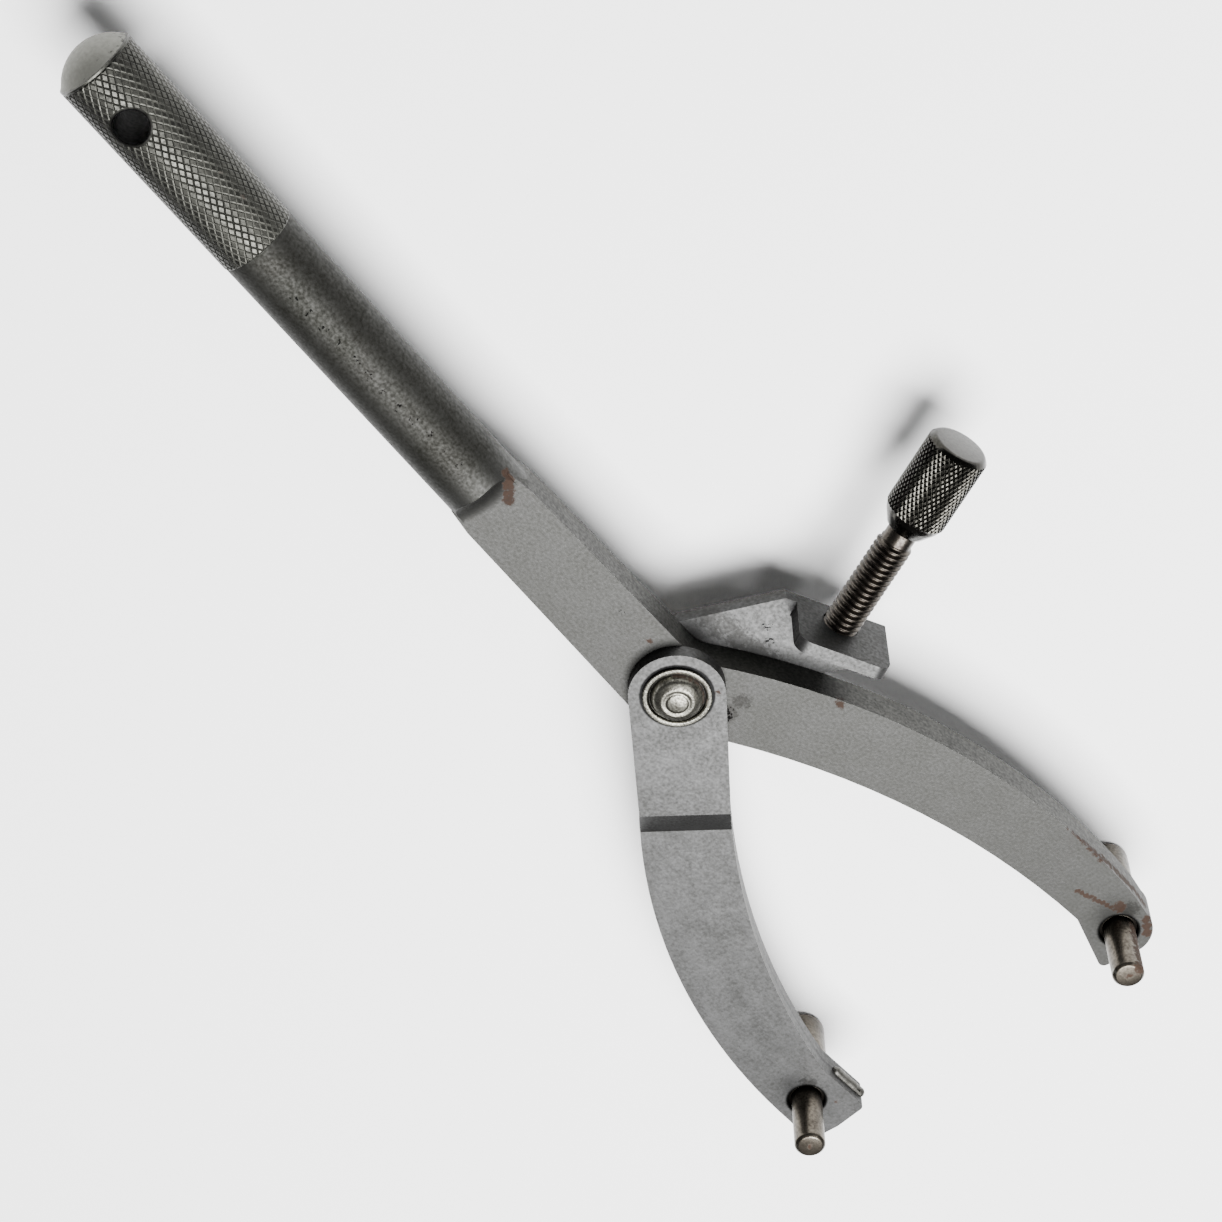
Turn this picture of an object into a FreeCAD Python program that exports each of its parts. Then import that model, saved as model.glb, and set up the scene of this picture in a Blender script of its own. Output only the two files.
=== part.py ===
import FreeCAD, Part
import math
import os

V = FreeCAD.Vector

# Adjustable face pin spanner, sizes in mm. It is drawn about the jaw pivot: +Z along the pivot
# towards the front pins, +X from the handle to the jaws, +Y towards the adjusting screw. The
# finished pieces are moved so that the origin is on the fixed jaw's pin, at the jaw's front face.

# --- driving dimensions ------------------------------------------------------------------------
# round bar of the handle
bar_d = 16.4
bar_reach = 177.6           # pivot to the rim of the domed end
bar_y = -3.0                # the bar's axis passes beside the pivot
dome_rise = 3.6
bar_end_chamfer = 0.6
hang_hole_d = 7.0
hang_hole_inset = 12.4      # from the rim of the domed end

# blade, forged flat from the bar, and the fixed jaw
forging_t = 8.0
blade_top = 7.2             # the edge on the screw's side, where it meets the jaw
blade_shoulder = (-32.0, 6.2)    # the edge runs down to the bar from here
blade_root_top = 5.4
blade_bottom = -11.1
blade_reach = 56.2          # pivot to where the blade's flat faces begin
scoop_len = 6.2             # the bar runs down to the blade over this length
scoop_bulge_r = 22.0        # the scoop's foot is an arc of this radius
scoop_lap = 1.2             # the scoop starts this far towards the bar
foot_lap = 3.0              # the round bar runs this far into the blade
root_share = 0.9            # width of the blade's root inside the bar, over the bar's diameter
crotch_r = 7.0              # hollow corner between the blade and the jaw
heel_r = 8.0                # corners under the pivot, hidden between the plates
heel_start_x = -1.0         # the blade's lower edge turns up towards the jaw here
heel_end_x = 12.0
heel_rise = 5.6
toe_corner_r = 1.4          # inner corner of either toe
fixed_arm = 119.5           # pivot to pin
fixed_arm_deg = 18.7
fixed_back_root = (3.1, 11.3)    # the jaw's back and belly are arcs through these points
fixed_back_mid = (45.5, 35.4)
fixed_back_end = (107.5, 46.35)
fixed_belly_root = (18.4, 0.1)
fixed_belly_mid = (62.3, 23.0)
fixed_belly_end = (104.8, 32.7)
fixed_toe_r = 7.55          # round end of the toe, about the pin
fixed_toe_width = 9.0       # from the pin's axis to the toe's inner corner, across the jaw
fixed_toe_degs = (95.0, 52.0, 10.0)      # the round end runs through these angles
fixed_toe_slope = 0.7       # the toe narrows by this much towards its inner corner

# moving jaw: two plates that fork over the blade
plate_t = 3.6
plate_end_r = 10.3
joggle_start = 30.6         # from the pivot along the plate
joggle_len = 7.4
joggle_width_deg = -35.2    # the way that the forked stretch points
moving_arm = 122.1
moving_arm_deg = -22.44
moving_back_root = (19.8, -25.0)
moving_back_mid = (63.9, -47.6)
moving_back_end = (115.4, -53.6)
moving_belly_root = (31.2, -8.9)
moving_belly_mid = (64.9, -27.0)
moving_belly_end = (107.8, -38.2)
moving_toe_len = 11.2       # from the pin's axis to the toe's square end
moving_toe_width = 9.5      # from the pin's axis to the toe's inner corner
moving_toe_r = 3.6
moving_toe_slope = 1.3      # the toe's end slopes back by this much towards its inner corner
moving_toe_back_slope = 0.2 # and by this much towards the jaw's back
moving_toe_back_rise = 0.3
moving_toe_square = 1.0     # the end's square stretch reaches this far past the pin's axis

# bracket on the rear plate and the tab at its end
bracket_deg = 67.5          # the way the bracket points from the pivot
bracket_half_w = 10.4
tab_deg = 119.5             # the way the tab's outer face looks
tab_face = 24.4             # pivot to the tab's outer face
tab_t = 3.0                 # the bend thins the tab
tab_left = 16.9             # the tab's two upright edges, along its face
tab_right = 37.7
tab_top = 9.6               # height of the tab's free edge over the forging's mid-plane
tab_corner_r = 3.0
tab_bend_r = 0.8            # inside radius of the bend
tab_heel_r = 0.6            # outside radius of the bend
screw_deg = 115.4           # the way the adjusting screw points
screw_across = 26.9         # where its axis leaves the tab's face
screw_z = -1.7

# rivet
rivet_d = 10.0
rivet_rim_d = 14.7
rivet_rim_w = 1.1
rivet_rim_h = 0.9
rivet_dome_base_d = 11.4
rivet_dome_top_d = 6.0
rivet_dome_h = 3.0
rivet_dome_swell = 0.45     # the dome's flank bulges outwards by this much
rivet_rim_bevel = 0.3
rivet_trough_h = 0.25       # floor of the trough, over the plate
rivet_tail_d = 15.0
rivet_tail_h = 2.2
rivet_tail_bevel = 0.8

# stepped pins
pin_front_d = 7.1
pin_front_len = 15.4        # free length in front of the jaw
pin_body_d = 8.8
pin_body_recess = 1.0       # the body ends this far inside the jaw's front face
pin_rear_d = 10.8
pin_rear_len = 17.2
pin_chamfer = 0.7

# adjusting screw and its knob
screw_d = 7.94
thread_pitch = 1.411
thread_depth = 0.6134 * thread_pitch
screw_tip_len = 2.2         # the tip stands this far out of the tab's inner face
thread_shown = 23.6         # from the tab's outer face to the end of the thread
thread_runout = 0.5
neck_len = 3.0
neck_d = 6.6
knob_d = 13.2
knob_len = 22.4
knob_foot_len = 4.2         # rounded foot next to the neck
knob_foot_d = 8.4
knob_foot_round = 0.5       # the foot's upper corner is eased by these two
knob_foot_rise = 1.2
knob_rim = 0.9              # bevel round the knob's top
knob_bore_depth = 14.0

# weld that joins the two plates, on the toe's belly edge
weld_r = 1.3
weld_inset = 1.6            # from the toe's inner corner to the end of the bead
weld_len = 8.5

# sheet and cutting allowances
joggle_draft = 0.25         # the upper bends of the joggle are set back by this share of the plate
beyond = 200.0              # cutters and blanks reach at least this far, past every outline
spare = 1.0                 # blanks are this much too thick before they are cut to shape

# fits and clearances
side_gap = 0.10             # between the blade and each plate
pivot_gap = 0.05            # radial, rivet in the blade
thread_gap = 0.05           # radial, screw in the tab
spigot_gap = 0.05           # radial, the screw's spigot in the knob
spigot_end_gap = 0.3        # between the spigot's end and the bottom of the knob's bore

# --- places worked out from them ---------------------------------------------------------------
half_t = forging_t / 2
plate_in = half_t + side_gap          # inner face of each plate over the blade
plate_out = plate_in + plate_t


def polar(radius, degrees):
    """Return the point at a radius and an angle about the pivot."""
    return (radius * math.cos(math.radians(degrees)), radius * math.sin(math.radians(degrees)))


def point(xy, z=0.0):
    """Return a vector from a pair and a height."""
    return V(xy[0], xy[1], z)


fixed_pin = polar(fixed_arm, fixed_arm_deg)
moving_pin = polar(moving_arm, moving_arm_deg)
screw_dir = point(polar(1.0, screw_deg))
tab_dir = point(polar(1.0, tab_deg))
tab_along = V(tab_dir.y, -tab_dir.x, 0)
tab_hole = tab_dir * tab_face + tab_along * screw_across + V(0, 0, screw_z)


def line(a, b):
    """Straight edge between two pairs, at height 0."""
    return Part.makeLine(point(a), point(b))


def arc(a, b, c):
    """Circular edge through three pairs, at height 0."""
    return Part.Arc(point(a), point(b), point(c)).toShape()


def prism(edges, low, high):
    """Solid between two heights with the outline given by joined edges."""
    wire = Part.Wire(Part.__sortEdges__(edges))
    face = Part.Face(wire)
    face.translate(V(0, 0, low))
    return face.extrude(V(0, 0, high - low))


def turned(profile, foot, axis):
    """Solid turned from (radius, height) pairs about an axis that starts at foot."""
    points = [V(r, 0, h) for r, h in profile]
    wire = Part.makePolygon(points + [points[0]])
    solid = Part.Face(wire).revolve(V(0, 0, 0), V(0, 0, 1), 360)
    solid.Placement = FreeCAD.Placement(foot, FreeCAD.Rotation(V(0, 0, 1), axis))
    return Part.Solid(solid) if solid.ShapeType != "Solid" else solid


def drill(radius, centre, low, high):
    """Cylinder along Z through a pair, between two heights."""
    return Part.makeCylinder(radius, high - low, point(centre, low))


def edges_near(solid, test):
    """List the edges of a solid whose middle point passes a test."""
    found = []
    for edge in solid.Edges:
        middle = edge.valueAt((edge.FirstParameter + edge.LastParameter) / 2)
        if test(edge, middle):
            found.append(edge)
    return found


def upright_at(solid, xy, reach):
    """List the edges along Z that stand within reach of a pair."""

    def test(edge, middle):
        rise = abs(edge.Vertexes[0].Z - edge.Vertexes[-1].Z)
        near = math.hypot(middle.x - xy[0], middle.y - xy[1]) < reach
        return near and rise > 0.9 * edge.Length and rise > plate_t / 2

    return edges_near(solid, test)


# --- handle and fixed jaw ----------------------------------------------------------------------
def crotch():
    """Return where the blade's top edge meets the arc of the jaw's back."""
    back = arc(fixed_back_root, fixed_back_mid, fixed_back_end).Curve
    drop = blade_top - back.Center.y
    return (back.Center.x - math.sqrt(back.Radius ** 2 - drop ** 2), blade_top)


def make_bar():
    """Round bar with a domed end, whose foot reaches into the blade."""
    radius = bar_d / 2
    lip = radius - bar_end_chamfer
    sphere_r = (lip ** 2 + dome_rise ** 2) / (2 * dome_rise)
    tip = -bar_reach - dome_rise
    half_turn = 0.5 * math.asin(lip / sphere_r)
    middle = V(tip + sphere_r * (1 - math.cos(half_turn)), sphere_r * math.sin(half_turn), 0)
    foot = -blade_reach + foot_lap
    corners = [V(-bar_reach, lip, 0), V(-bar_reach + bar_end_chamfer, radius, 0),
               V(foot, radius, 0), V(foot, 0, 0), V(tip, 0, 0)]
    edges = [Part.makeLine(a, b) for a, b in zip(corners, corners[1:])]
    edges.append(Part.Arc(corners[-1], middle, corners[0]).toShape())
    bar = Part.Face(Part.Wire(edges)).revolve(V(0, 0, 0), V(1, 0, 0), 360)
    bar.translate(V(0, bar_y, 0))
    return bar


def scoop(side):
    """Cutter in front of (side 1) or behind (side -1) the blade, hollow towards the bar."""
    rise = bar_d / 2 - half_t + spare
    radius = (scoop_len ** 2 + rise ** 2) / (2 * rise)
    foot = -blade_reach - scoop_lap
    far = foot + 4 * bar_d
    high = half_t + 2 * bar_d
    half_turn = 0.5 * math.asin(scoop_len / radius)
    lip = V(foot - scoop_len, 0, half_t + rise)
    middle = V(foot - radius * math.sin(half_turn), 0, half_t + radius * (1 - math.cos(half_turn)))
    start = V(foot, 0, half_t)
    profile = [start, V(far, 0, half_t), V(far, 0, high), V(foot - scoop_len, 0, high), lip]
    edges = [Part.makeLine(a, b) for a, b in zip(profile, profile[1:])]
    edges.append(Part.Arc(lip, middle, start).toShape())
    centre = V(foot - scoop_bulge_r, 0, 0)
    cutter = Part.Face(Part.Wire(edges)).revolve(centre, V(0, 0, 1), 80)
    cutter.rotate(centre, V(0, 0, 1), -40)
    cutter.translate(V(0, bar_y, 0))
    if side < 0:
        cutter = cutter.mirror(V(0, 0, 0), V(0, 0, 1))
    return cutter


def forging_outline():
    """Edges of the blade and the jaw, seen from the front, and its corners to be rounded."""
    corner = crotch()
    pin_x, pin_y = fixed_pin
    toe_start, toe_mid, toe_end = (
        (pin_x + step[0], pin_y + step[1])
        for step in (polar(fixed_toe_r, degrees) for degrees in fixed_toe_degs)
    )
    toe_corner = (toe_end[0] - fixed_toe_slope, pin_y - fixed_toe_width)
    root_top = (-blade_reach, blade_root_top)
    root_bottom = (-blade_reach, blade_bottom)
    stub_top = (-blade_reach - scoop_len, bar_y + root_share * bar_d / 2)
    stub_bottom = (-blade_reach - scoop_len, bar_y - root_share * bar_d / 2)
    heel = (heel_end_x, blade_bottom + heel_rise)
    belly_heel = (heel_start_x, blade_bottom)
    edges = [
        line(stub_top, root_top),
        line(root_top, blade_shoulder),
        line(blade_shoulder, corner),
        arc(corner, fixed_back_mid, fixed_back_end),
        line(fixed_back_end, toe_start),
        arc(toe_start, toe_mid, toe_end),
        line(toe_end, toe_corner),
        line(toe_corner, fixed_belly_end),
        arc(fixed_belly_end, fixed_belly_mid, fixed_belly_root),
        line(fixed_belly_root, heel),
        line(heel, belly_heel),
        line(belly_heel, root_bottom),
        line(root_bottom, stub_bottom),
        line(stub_bottom, stub_top),
    ]
    rounds = [(corner, crotch_r), (toe_corner, toe_corner_r), (heel, heel_r), (belly_heel, heel_r)]
    return edges, rounds


def make_forging():
    """Forge the bar, blade and fixed jaw as one solid, with its three holes."""
    edges, rounds = forging_outline()
    plate = prism(edges, -half_t, half_t)
    for corner, radius in rounds:
        plate = plate.makeFillet(radius, upright_at(plate, corner, 0.5))
    body = make_bar().fuse(plate)
    body = body.cut(scoop(1)).cut(scoop(-1)).removeSplitter()
    body = body.cut(drill(rivet_d / 2 + pivot_gap, (0, 0), -forging_t, forging_t))
    body = body.cut(drill(pin_body_d / 2, fixed_pin, -forging_t, forging_t))
    hang_hole = (-bar_reach + hang_hole_inset, bar_y)
    return body.cut(drill(hang_hole_d / 2, hang_hole, -bar_d, bar_d))


# --- moving jaw --------------------------------------------------------------------------------
def jaw_blank(low, high):
    """Flat blank of either plate, from its round end at the pivot to the toe."""
    way = V(*polar(1.0, joggle_width_deg), 0)
    side = V(-way.y, way.x, 0)
    pin_x, pin_y = moving_pin
    toe_x = pin_x + moving_toe_len
    toe_in = (toe_x - moving_toe_slope, pin_y + moving_toe_width)
    toe_back = (toe_x - moving_toe_back_slope, moving_back_end[1] + moving_toe_back_rise)
    toe_square = (toe_x, pin_y + moving_toe_square)
    back_tangent = side * -plate_end_r + way * 0.5
    belly_tangent = side * plate_end_r
    far = way * -plate_end_r
    edges = [
        line((back_tangent.x, back_tangent.y), moving_back_root),
        arc(moving_back_root, moving_back_mid, moving_back_end),
        line(moving_back_end, toe_back),
        line(toe_back, toe_square),
        line(toe_square, toe_in),
        line(toe_in, moving_belly_end),
        arc(moving_belly_end, moving_belly_mid, moving_belly_root),
        line(moving_belly_root, (belly_tangent.x, belly_tangent.y)),
        arc((belly_tangent.x, belly_tangent.y), (far.x, far.y), (back_tangent.x, back_tangent.y)),
    ]
    blank = prism(edges, low, high)
    blank = blank.makeFillet(moving_toe_r, upright_at(blank, toe_back, 0.5))
    return blank.makeFillet(toe_corner_r, upright_at(blank, toe_in, 0.5))


def joggle_band(low, high, drop):
    """Slab that follows a plate's height along the joggle, for cutting the outline prism."""
    way = V(*polar(1.0, joggle_width_deg), 0)
    side = V(-way.y, way.x, 0)
    setback = joggle_draft * plate_t
    lower = [(-beyond, low), (joggle_start, low), (joggle_start + joggle_len, low - drop),
             (beyond, low - drop)]
    upper = [(beyond, high - drop), (joggle_start + joggle_len + setback, high - drop),
             (joggle_start + setback, high), (-beyond, high)]
    points = [way * s + V(0, 0, z) - side * beyond for s, z in lower + upper]
    wire = Part.makePolygon(points + [points[0]])
    return Part.Face(wire).extrude(side * 2 * beyond)


def make_front_plate():
    """Stamped plate: over the blade at the pivot, joggled down onto its twin along the jaw."""
    blank = jaw_blank(-spare, plate_out + spare)
    plate = blank.common(joggle_band(plate_in, plate_out, plate_in))
    plate = plate.cut(drill(rivet_d / 2, (0, 0), 0, 2 * forging_t))
    return plate.cut(drill(pin_body_d / 2, moving_pin, -forging_t, forging_t))


def bracket_outline():
    """Corners of the bracket, seen from the front: a slanting strip with a square-ended foot."""
    way = V(*polar(1.0, bracket_deg), 0)
    left = V(-way.y, way.x, 0) * bracket_half_w
    right = left * -1

    def level_with(start, across):
        """Follow a side of the strip to where it is level with a tab's edge."""
        return start + way * ((across - start.dot(tab_along)) / way.dot(tab_along))

    return [
        left,
        right,
        level_with(right, tab_right),
        tab_dir * tab_face + tab_along * tab_right,
        tab_dir * tab_face + tab_along * tab_left,
        level_with(left, tab_left),
    ]


def make_bracket():
    """Strip from the pivot to the tab, and the tab bent up along its end."""
    inner = tab_face - tab_t
    profile = [(-beyond, -plate_out), (tab_face, -plate_out), (tab_face, tab_top), (inner, tab_top),
               (inner, -plate_in), (-beyond, -plate_in)]
    points = [tab_dir * n - tab_along * beyond + V(0, 0, z) for n, z in profile]
    ell = Part.Face(Part.makePolygon(points + [points[0]])).extrude(tab_along * 2 * beyond)

    def bend(edge, middle):
        return abs(middle.dot(tab_dir) - inner) < 1e-6 and abs(middle.z + plate_in) < 1e-6

    def heel(edge, middle):
        return abs(middle.dot(tab_dir) - tab_face) < 1e-6 and abs(middle.z + plate_out) < 1e-6

    ell = ell.makeFillet(tab_bend_r, edges_near(ell, bend))
    ell = ell.makeFillet(tab_heel_r, edges_near(ell, heel))
    corners = bracket_outline()
    strip = Part.Face(Part.makePolygon(corners + [corners[0]])).extrude(V(0, 0, plate_t))
    strip.translate(V(0, 0, -plate_out))
    foot = [tab_dir * n + tab_along * w for n, w in (
        (inner - tab_bend_r, tab_left), (inner - tab_bend_r, tab_right),
        (tab_face, tab_right), (tab_face, tab_left))]
    block = Part.Face(Part.makePolygon(foot + [foot[0]])).extrude(V(0, 0, plate_out + tab_top))
    block.translate(V(0, 0, -plate_out))
    piece = ell.common(strip.fuse(block)).removeSplitter()

    def corner(edge, middle):
        along = abs(edge.tangentAt(edge.FirstParameter).dot(tab_dir)) > 0.99
        return along and abs(middle.z - tab_top) < 1e-6

    return piece.makeFillet(tab_corner_r, edges_near(piece, corner))


def make_rear_plate():
    """Stamped plate behind the blade, with the jaw at one end and the bracket at the other."""
    blank = jaw_blank(-plate_out - spare, spare)
    band = joggle_band(plate_in, plate_out, plate_in).mirror(V(0, 0, 0), V(0, 0, 1))
    plate = blank.common(band).fuse(make_bracket()).removeSplitter()
    plate = plate.cut(drill(rivet_d / 2, (0, 0), -2 * forging_t, 0))
    plate = plate.cut(drill(pin_body_d / 2, moving_pin, -forging_t, forging_t))
    tapped = Part.makeCylinder(screw_d / 2 + thread_gap, 4 * plate_t,
                               tab_hole + screw_dir * plate_t, screw_dir * -1)
    return plate.cut(tapped)


def bead(start, end):
    """Straight round bead with ball ends, between two points on the plates' seam."""
    rod = Part.makeCylinder(weld_r, (end - start).Length, start, end - start)
    return rod.fuse(Part.makeSphere(weld_r, start)).fuse(Part.makeSphere(weld_r, end))


def make_weld():
    """Two beads over the plates' seam: on the toe's belly edge and on the jaw's back."""
    toe_end_x = moving_pin[0] + moving_toe_len
    toe_in = point((toe_end_x - moving_toe_slope, moving_pin[1] + moving_toe_width))
    belly = point(moving_belly_end) - toe_in
    belly.normalize()
    back = point((moving_back_end[0], moving_back_end[1]))
    along_back = V(-1, 0, 0)
    return [
        bead(toe_in + belly * weld_inset, toe_in + belly * (weld_inset + weld_len)),
        bead(back, back + along_back * weld_len),
    ]


# --- rivet, pins, screw and knob ---------------------------------------------------------------
def make_rivet():
    """Rivet with a domed head inside a raised rim in front, and a flat tail behind."""
    rim = rivet_rim_d / 2
    trough = rim - rivet_rim_w
    dome_flank = (rivet_dome_base_d + rivet_dome_top_d) / 4 + rivet_dome_swell
    profile = [
        (0, -plate_out - rivet_tail_h),
        (rivet_tail_d / 2 - rivet_tail_bevel, -plate_out - rivet_tail_h),
        (rivet_tail_d / 2, -plate_out - rivet_tail_h + rivet_tail_bevel),
        (rivet_tail_d / 2, -plate_out),
        (rivet_d / 2, -plate_out),
        (rivet_d / 2, plate_out),
        (rim, plate_out),
        (rim, plate_out + rivet_rim_h - rivet_rim_bevel),
        (rim - rivet_rim_bevel, plate_out + rivet_rim_h),
        (trough + rivet_rim_bevel, plate_out + rivet_rim_h),
        (trough, plate_out + rivet_trough_h),
        (rivet_dome_base_d / 2, plate_out + rivet_trough_h),
        (dome_flank, plate_out + rivet_dome_h * 2 / 3),
        (rivet_dome_top_d / 2, plate_out + rivet_dome_h),
        (0, plate_out + rivet_dome_h),
    ]
    return turned(profile, V(0, 0, 0), V(0, 0, 1))


def make_pin(centre, thickness):
    """Stepped pin through a jaw of the given thickness, small in front and larger behind."""
    back = -thickness / 2
    front = thickness / 2
    profile = [
        (0, back - pin_rear_len),
        (pin_rear_d / 2 - pin_chamfer, back - pin_rear_len),
        (pin_rear_d / 2, back - pin_rear_len + pin_chamfer),
        (pin_rear_d / 2, back),
        (pin_body_d / 2, back),
        (pin_body_d / 2, front - pin_body_recess),
        (pin_front_d / 2, front - pin_body_recess),
        (pin_front_d / 2, front + pin_front_len - pin_chamfer),
        (pin_front_d / 2 - pin_chamfer, front + pin_front_len),
        (0, front + pin_front_len),
    ]
    return turned(profile, point(centre), V(0, 0, 1))


screw_tail = tab_t + screw_tip_len


def make_screw():
    """Threaded shank, plain neck and the spigot inside the knob, drawn at the thread's crests."""
    core = neck_d / 2
    spigot_end = thread_shown + neck_len + knob_bore_depth - spigot_end_gap
    profile = [
        (0, -screw_tail),
        (screw_d / 2 - thread_depth, -screw_tail),
        (screw_d / 2, -screw_tail + thread_depth),
        (screw_d / 2, thread_shown - thread_runout),
        (core, thread_shown),
        (core, spigot_end),
        (0, spigot_end),
    ]
    return turned(profile, tab_hole, screw_dir)


def make_knob():
    """Knob with a rounded foot, a beveled top and a blind bore for the screw's spigot."""
    foot = thread_shown + neck_len
    bore = neck_d / 2 + spigot_gap
    profile = [
        (bore, foot),
        (knob_foot_d / 2, foot),
        (knob_d / 2 - knob_foot_round, foot + knob_foot_len - knob_foot_rise),
        (knob_d / 2, foot + knob_foot_len),
        (knob_d / 2, foot + knob_len - knob_rim),
        (knob_d / 2 - knob_rim, foot + knob_len),
        (0, foot + knob_len),
        (0, foot + knob_bore_depth),
        (bore, foot + knob_bore_depth),
    ]
    return turned(profile, tab_hole, screw_dir)


# --- write one file per piece ------------------------------------------------------------------
def main():
    """Build every piece and write it in the part's own frame."""
    os.makedirs("parts", exist_ok=True)
    beads = make_weld()
    pieces = {
        "handle_and_fixed_jaw": make_forging(),
        "moving_jaw_front_plate": make_front_plate().cut(beads),
        "moving_jaw_rear_plate": make_rear_plate().cut(beads),
        "jaw_weld": Part.makeCompound(beads),
        "pivot_rivet": make_rivet(),
        "fixed_jaw_pin": make_pin(fixed_pin, forging_t),
        "moving_jaw_pin": make_pin(moving_pin, 2 * plate_t),
        "adjusting_screw": make_screw(),
        "thumb_knob": make_knob(),
    }
    to_pin = V(-fixed_pin[0], -fixed_pin[1], -half_t)
    for name, shape in pieces.items():
        shape = shape.copy()
        shape.translate(to_pin)
        box = shape.BoundBox
        print(f"{name:26s} valid {shape.isValid()} solids {len(shape.Solids)}"
              f" volume {shape.Volume:9.1f} mm3"
              f" x {box.XMin:7.1f} {box.XMax:7.1f} y {box.YMin:6.1f} {box.YMax:6.1f}"
              f" z {box.ZMin:6.1f} {box.ZMax:6.1f}")
        shape.exportStep(f"parts/{name}.step")
    print("pivot", V(0, 0, 0) + to_pin, "tab hole", tab_hole + to_pin, "screw axis", screw_dir)


main()
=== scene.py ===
import logging
import math
from dataclasses import dataclass, replace
from enum import Enum
from typing import Any, Callable

import bmesh
import bpy
from mathutils import Matrix, Vector


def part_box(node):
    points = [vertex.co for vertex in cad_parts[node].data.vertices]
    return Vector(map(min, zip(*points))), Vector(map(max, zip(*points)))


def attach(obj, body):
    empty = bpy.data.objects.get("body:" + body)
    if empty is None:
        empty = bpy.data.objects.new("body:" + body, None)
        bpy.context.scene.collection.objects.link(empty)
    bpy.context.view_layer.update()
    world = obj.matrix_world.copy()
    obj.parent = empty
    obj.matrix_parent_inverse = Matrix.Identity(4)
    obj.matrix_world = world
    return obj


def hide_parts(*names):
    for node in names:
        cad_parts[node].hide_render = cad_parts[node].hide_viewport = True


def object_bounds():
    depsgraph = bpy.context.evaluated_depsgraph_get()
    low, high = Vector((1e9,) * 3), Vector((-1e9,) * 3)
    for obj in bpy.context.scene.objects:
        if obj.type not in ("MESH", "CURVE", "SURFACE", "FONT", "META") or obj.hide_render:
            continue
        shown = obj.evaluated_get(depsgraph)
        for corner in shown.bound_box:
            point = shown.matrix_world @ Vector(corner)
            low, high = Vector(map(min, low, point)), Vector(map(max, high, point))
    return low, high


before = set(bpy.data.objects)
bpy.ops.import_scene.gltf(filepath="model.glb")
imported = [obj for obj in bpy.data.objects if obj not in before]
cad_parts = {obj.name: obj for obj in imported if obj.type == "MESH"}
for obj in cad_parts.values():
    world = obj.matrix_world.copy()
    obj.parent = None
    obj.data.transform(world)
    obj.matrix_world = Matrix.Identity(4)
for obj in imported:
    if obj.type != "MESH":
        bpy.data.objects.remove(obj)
CAD_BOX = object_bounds()

log = logging.getLogger("pin_spanner")

MM = 0.001
Z_AXIS = Vector((0.0, 0.0, 1.0))
X_AXIS = Vector((1.0, 0.0, 0.0))


MERGE_MM = 0.002       # points closer than this are one
FLAT_DEG = 0.6         # faces flatter than this are joined into one
BEND_DEG = 24.0        # edges sharper than this are rounded
SMOOTH_DEG = 30.0      # edges flatter than this are shaded smooth
STEEPEST = 0.3         # upright walls have normals flatter than this


# --- places read from the frame ------------------------------------------------------------------
def centre_of(node: str) -> Vector:
    """Find the middle of a CAD node's box.

    Args:
        node: Name of the CAD node.

    Returns:
        The middle of its box at rest, in metres.
    """
    low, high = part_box(node)
    return (low + high) / 2


def mid_plane() -> float:
    """Return the height of the forging's mid-plane, in metres."""
    return centre_of("handle_and_fixed_jaw").z


PIVOT = Vector((centre_of("pivot_rivet").x, centre_of("pivot_rivet").y, mid_plane()))
SCREW_AXIS = Vector((-0.428935, 0.903335, 0.0))


def at(x: float, y: float, z: float = 0.0) -> Vector:
    """Turn a place about the jaw pivot, in mm, into the row's frame.

    Args:
        x: Distance from the pivot towards the jaws.
        y: Distance towards the adjusting screw.
        z: Height over the forging's mid-plane.

    Returns:
        The place in metres.
    """
    return PIVOT + Vector((x, y, z)) * MM


# --- working in edit mode ------------------------------------------------------------------------
def only(obj: bpy.types.Object) -> None:
    """Leave one object selected and active.

    Args:
        obj: The object to work on.
    """
    bpy.ops.object.select_all(action="DESELECT")
    obj.select_set(True)
    bpy.context.view_layer.objects.active = obj


def apply_modifier(obj: bpy.types.Object, kind: str, **settings: Any) -> None:
    """Add a modifier to an object and apply it.

    Args:
        obj: The object to shape.
        kind: Blender's name of the modifier.
        settings: Values of its settings.
    """
    only(obj)
    modifier = obj.modifiers.new(kind.title(), kind)
    for key, value in settings.items():
        setattr(modifier, key, value)
    bpy.ops.object.modifier_apply(modifier=modifier.name)


def select_faces(obj: bpy.types.Object, wanted: Callable[[Any], bool]) -> None:
    """Select the faces that pass a test, in edit mode.

    Args:
        obj: The object, which is in edit mode.
        wanted: Test of one face.
    """
    bpy.ops.mesh.select_mode(type="FACE")
    bpy.ops.mesh.select_all(action="DESELECT")
    mesh = bmesh.from_edit_mesh(obj.data)
    for face in mesh.faces:
        face.select_set(bool(wanted(face)))
    bmesh.update_edit_mesh(obj.data)


def closed_and_outward(obj: bpy.types.Object, smooth_deg: float) -> None:
    """Merge doubles, turn the faces outwards and smooth the shallow edges.

    Args:
        obj: The object to finish.
        smooth_deg: Edges flatter than this are shaded smooth.
    """
    only(obj)
    bpy.ops.object.mode_set(mode="EDIT")
    bpy.ops.mesh.select_all(action="SELECT")
    bpy.ops.mesh.remove_doubles(threshold=MERGE_MM * MM)
    bpy.ops.mesh.normals_make_consistent(inside=False)
    bpy.ops.object.mode_set(mode="OBJECT")
    bpy.ops.object.shade_smooth_by_angle(angle=math.radians(smooth_deg))


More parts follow.
